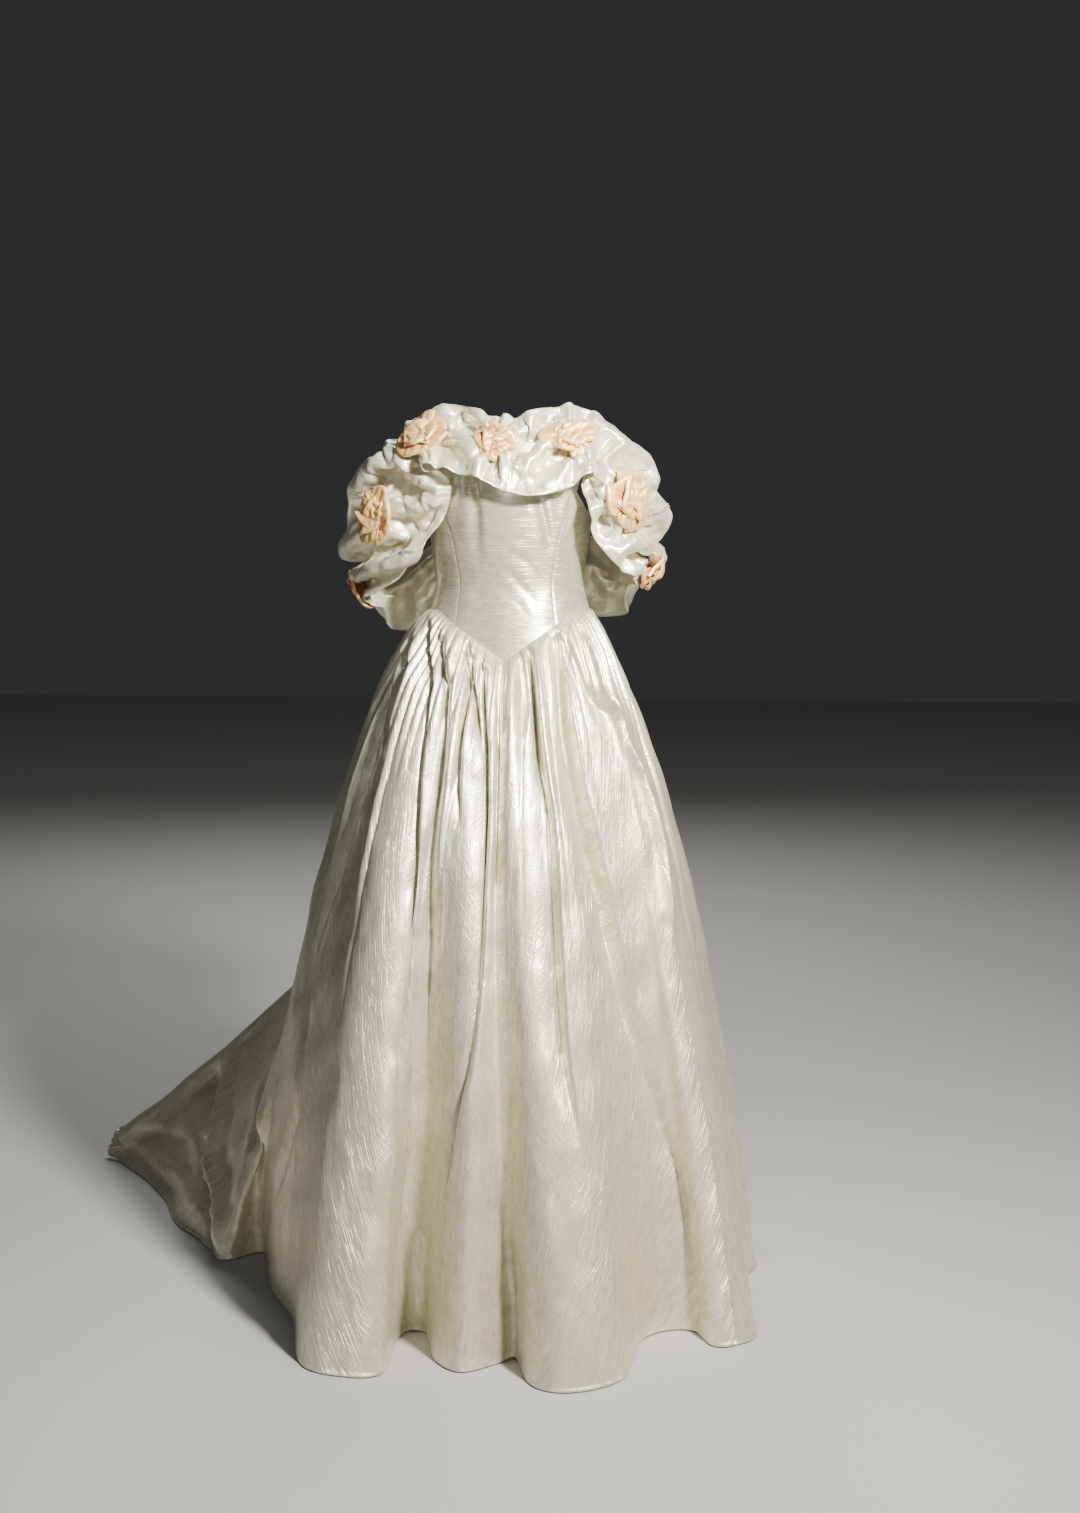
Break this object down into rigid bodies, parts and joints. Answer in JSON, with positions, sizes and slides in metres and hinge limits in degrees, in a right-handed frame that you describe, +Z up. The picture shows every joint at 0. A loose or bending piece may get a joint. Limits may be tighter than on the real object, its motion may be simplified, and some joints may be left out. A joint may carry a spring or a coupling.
{
  "type": "off-shoulder ball gown",
  "caption": "Ivory silk ball gown in its worn, hollow form: off-shoulder ruffle set with fabric roses, pointed basque waist, gathered full skirt and a train swept to one side.",
  "frame": {"origin": "on the body's axis, level with the waist seam at the sides, where the wearer holds the gown up", "axes": "+Z up, -Y to the front of the gown, +X to the wearer's left; the floor is 1.1 m below the origin"},
  "size_m": [1.2774, 1.2716, 1.4212],
  "materials": {
    "ivory_silk": "slubbed silk with a high sheen",
    "peach_satin": "satin"
  },
  "bodies": {
    "root": {"bodice_front": "ivory_silk", "bodice_side_front_left": "ivory_silk", "bodice_side_front_right": "ivory_silk", "bodice_back_left": "ivory_silk", "bodice_back_right": "ivory_silk", "skirt_front": "ivory_silk", "skirt_side_left": "ivory_silk", "skirt_side_right": "ivory_silk", "skirt_back_left": "ivory_silk", "skirt_back_right": "ivory_silk", "ruffle_front": "ivory_silk", "sleeve_front_left": "ivory_silk", "sleeve_front_right": "ivory_silk", "sleeve_back_left": "ivory_silk", "sleeve_back_right": "ivory_silk", "rose_chest_centre": "peach_satin", "rose_chest_left": "peach_satin", "rose_shoulder_right": "peach_satin", "rose_sleeve_right": "peach_satin", "rose_sleeve_left": "peach_satin", "rose_elbow_right": "peach_satin", "rose_elbow_left": "peach_satin"}
  },
  "joints": []
}
